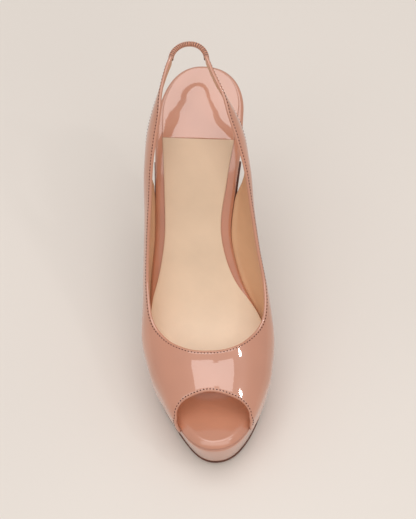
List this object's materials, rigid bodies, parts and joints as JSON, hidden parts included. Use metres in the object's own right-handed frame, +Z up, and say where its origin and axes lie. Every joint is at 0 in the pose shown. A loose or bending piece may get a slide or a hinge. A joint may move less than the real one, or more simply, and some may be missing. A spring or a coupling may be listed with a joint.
{
  "type": "platform high heel",
  "caption": "Peep-toe platform pump with a sling back and a slim covered heel, in glossy nude patent leather, a right shoe.",
  "frame": {"origin": "on the floor under the ball of the foot, in the flat tread of the forepart", "axes": "+Y from toe to heel, +X to the inner side of the foot, +Z up from the floor"},
  "size_m": [0.0838, 0.216, 0.1749],
  "materials": {
    "patent": "glossy patent",
    "lining": "smooth matt leather",
    "sole_leather": "polished leather edge",
    "lift": "hard rubber",
    "elastic": "gathered covered elastic"
  },
  "bodies": {
    "root": {"outsole": "sole_leather", "platform": "patent", "insole": "patent", "sock": "lining", "heel_pad": "patent", "heel": "patent", "top_piece": "lift", "upper": "patent", "sling_elastic": "elastic"}
  },
  "joints": []
}
